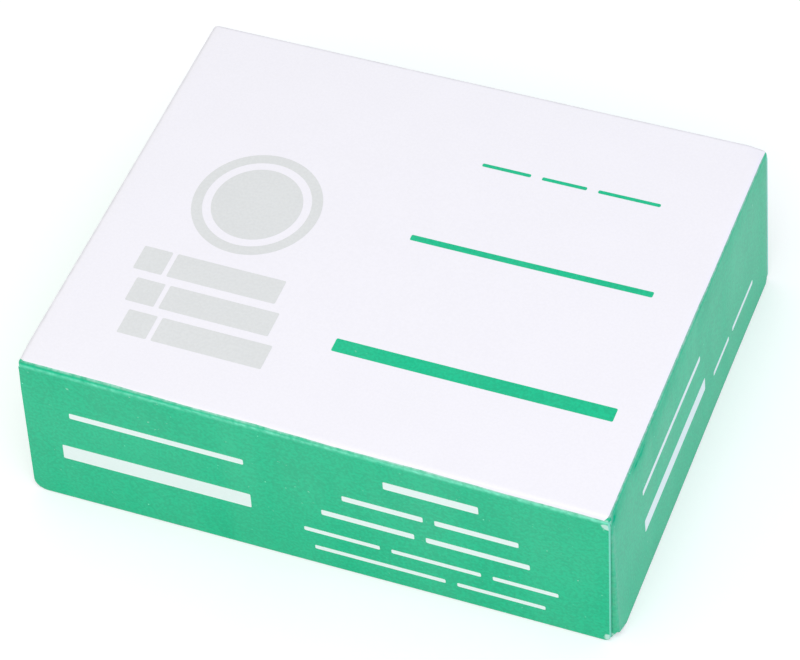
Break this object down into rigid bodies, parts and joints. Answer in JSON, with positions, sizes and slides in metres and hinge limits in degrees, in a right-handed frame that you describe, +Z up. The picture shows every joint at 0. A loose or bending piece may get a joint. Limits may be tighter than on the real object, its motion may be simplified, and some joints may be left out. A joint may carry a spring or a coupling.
{
  "type": "box of microscope slides",
  "caption": "Flat paperboard box with a lift-off lid over its whole height, holding a row of upright glass microscope slides.",
  "frame": {"origin": "middle of the tray's flat underside, which the box rests on", "axes": "+X along the slides' long side, +Z up through the lid, and the printed front wall faces -Y"},
  "size_m": [0.0846, 0.066, 0.0274],
  "materials": {
    "lid_board": "printed and coated outside, white inside",
    "tray_board": "uncoated white",
    "slide_glass": "clear, ground edges, one end frosted"
  },
  "bodies": {
    "tray": {"tray": "tray_board", "slide_01": "slide_glass", "slide_02": "slide_glass", "slide_03": "slide_glass", "slide_04": "slide_glass", "slide_05": "slide_glass", "slide_06": "slide_glass", "slide_07": "slide_glass", "slide_08": "slide_glass", "slide_09": "slide_glass", "slide_10": "slide_glass", "slide_11": "slide_glass", "slide_12": "slide_glass", "slide_13": "slide_glass", "slide_14": "slide_glass", "slide_15": "slide_glass", "slide_16": "slide_glass", "slide_17": "slide_glass", "slide_18": "slide_glass", "slide_19": "slide_glass", "slide_20": "slide_glass", "slide_21": "slide_glass", "slide_22": "slide_glass", "slide_23": "slide_glass", "slide_24": "slide_glass", "slide_25": "slide_glass", "slide_26": "slide_glass", "slide_27": "slide_glass", "slide_28": "slide_glass", "slide_29": "slide_glass", "slide_30": "slide_glass", "slide_31": "slide_glass", "slide_32": "slide_glass", "slide_33": "slide_glass", "slide_34": "slide_glass", "slide_35": "slide_glass", "slide_36": "slide_glass", "slide_37": "slide_glass", "slide_38": "slide_glass", "slide_39": "slide_glass", "slide_40": "slide_glass", "slide_41": "slide_glass", "slide_42": "slide_glass", "slide_43": "slide_glass", "slide_44": "slide_glass", "slide_45": "slide_glass", "slide_46": "slide_glass", "slide_47": "slide_glass", "slide_48": "slide_glass", "slide_49": "slide_glass", "slide_50": "slide_glass"},
    "lid": {"lid": "lid_board"}
  },
  "joints": [
    {"name": "lid_lift", "type": "slide", "parent": "tray", "child": "lid", "axis": [0, 0, 1], "range_m": [0, 0.05]}
  ]
}
